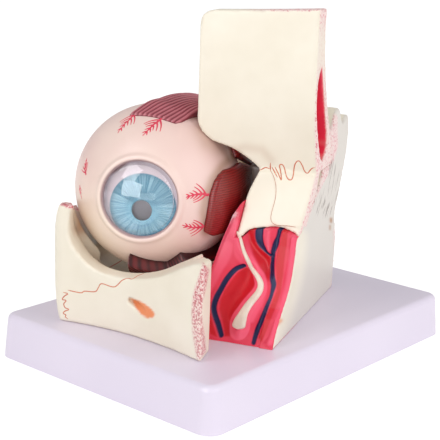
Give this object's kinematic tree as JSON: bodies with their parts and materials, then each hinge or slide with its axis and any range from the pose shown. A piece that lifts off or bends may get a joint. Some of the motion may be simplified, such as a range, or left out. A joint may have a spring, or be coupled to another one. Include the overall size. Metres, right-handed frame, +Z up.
{
  "type": "eye anatomy model",
  "caption": "Enlarged teaching model of an eyeball in its bony orbit on a flat base; the eyeball lifts out and opens on its equator.",
  "frame": {"origin": "centre of the rectangle that the base plate stands on, on the table", "axes": "+Z up, -Y the front short side of the base plate, +X to the right of it"},
  "size_m": [0.1802, 0.2456, 0.2264],
  "materials": {
    "base_plastic": "injection-moulded ABS, smooth semi-gloss",
    "screw_steel": "zinc-plated",
    "bone_paint": "painted PVC casting, satin varnish",
    "mucosa_paint": "painted PVC casting, gloss varnish",
    "sclera_paint": "painted PVC shell, satin varnish",
    "muscle_paint": "painted PVC casting, satin varnish",
    "nerve_paint": "painted PVC, satin varnish",
    "iris_paint": "painted disc, gloss",
    "choroid_paint": "painted PVC shell",
    "retina_paint": "painted PVC shell",
    "clear_acrylic": "polished clear acrylic",
    "pin_metal": "bright pins"
  },
  "bodies": {
    "stand": {"base_plate": "base_plastic", "base_screws": "screw_steel", "maxilla": "bone_paint", "nasal_cavity": "mucosa_paint", "inferior_concha": "bone_paint", "nasal_bone": "bone_paint", "frontal_bone": "bone_paint", "nasal_septum": "bone_paint", "medial_orbit_wall": "bone_paint"},
    "eyeball_front": {"sclera_front": "sclera_paint", "choroid_front": "choroid_paint", "iris": "iris_paint", "cornea": "clear_acrylic", "locating_pins": "pin_metal", "superior_rectus_front": "muscle_paint", "medial_rectus_front": "muscle_paint", "inferior_rectus_front": "muscle_paint", "lateral_rectus_front": "muscle_paint"},
    "lens_body": {"lens": "clear_acrylic"},
    "vitreous": {"vitreous_body": "clear_acrylic"},
    "retina": {"retina_cup": "retina_paint"},
    "eyeball_rear": {"sclera_rear": "sclera_paint", "superior_rectus_rear": "muscle_paint", "medial_rectus_rear": "muscle_paint", "inferior_rectus_rear": "muscle_paint", "lateral_rectus_rear": "muscle_paint", "superior_oblique": "muscle_paint", "optic_nerve": "nerve_paint", "tendinous_ring": "nerve_paint"}
  },
  "joints": [
    {"name": "eyeball_lift", "type": "slide", "parent": "stand", "child": "eyeball_front", "axis": [-0.7598, 0.0361, 0.6492], "range_m": [0, 0.2]},
    {"name": "lens_draw", "type": "slide", "parent": "eyeball_front", "child": "lens_body", "axis": [-0.4875, 0.8723, -0.0366], "range_m": [0, 0.024]},
    {"name": "vitreous_draw", "type": "slide", "parent": "eyeball_front", "child": "vitreous", "axis": [-0.4875, 0.8723, -0.0366], "range_m": [0, 0.05]},
    {"name": "retina_draw", "type": "slide", "parent": "eyeball_front", "child": "retina", "axis": [-0.4875, 0.8723, -0.0366], "range_m": [0, 0.076]},
    {"name": "rear_half_open", "type": "slide", "parent": "eyeball_front", "child": "eyeball_rear", "axis": [-0.4875, 0.8723, -0.0366], "range_m": [0, 0.1]}
  ],
  "couplings": [
    {"joint": "lens_draw", "follows": "eyeball_lift", "ratio": 0.12},
    {"joint": "vitreous_draw", "follows": "eyeball_lift", "ratio": 0.25},
    {"joint": "retina_draw", "follows": "eyeball_lift", "ratio": 0.38},
    {"joint": "rear_half_open", "follows": "eyeball_lift", "ratio": 0.5}
  ]
}
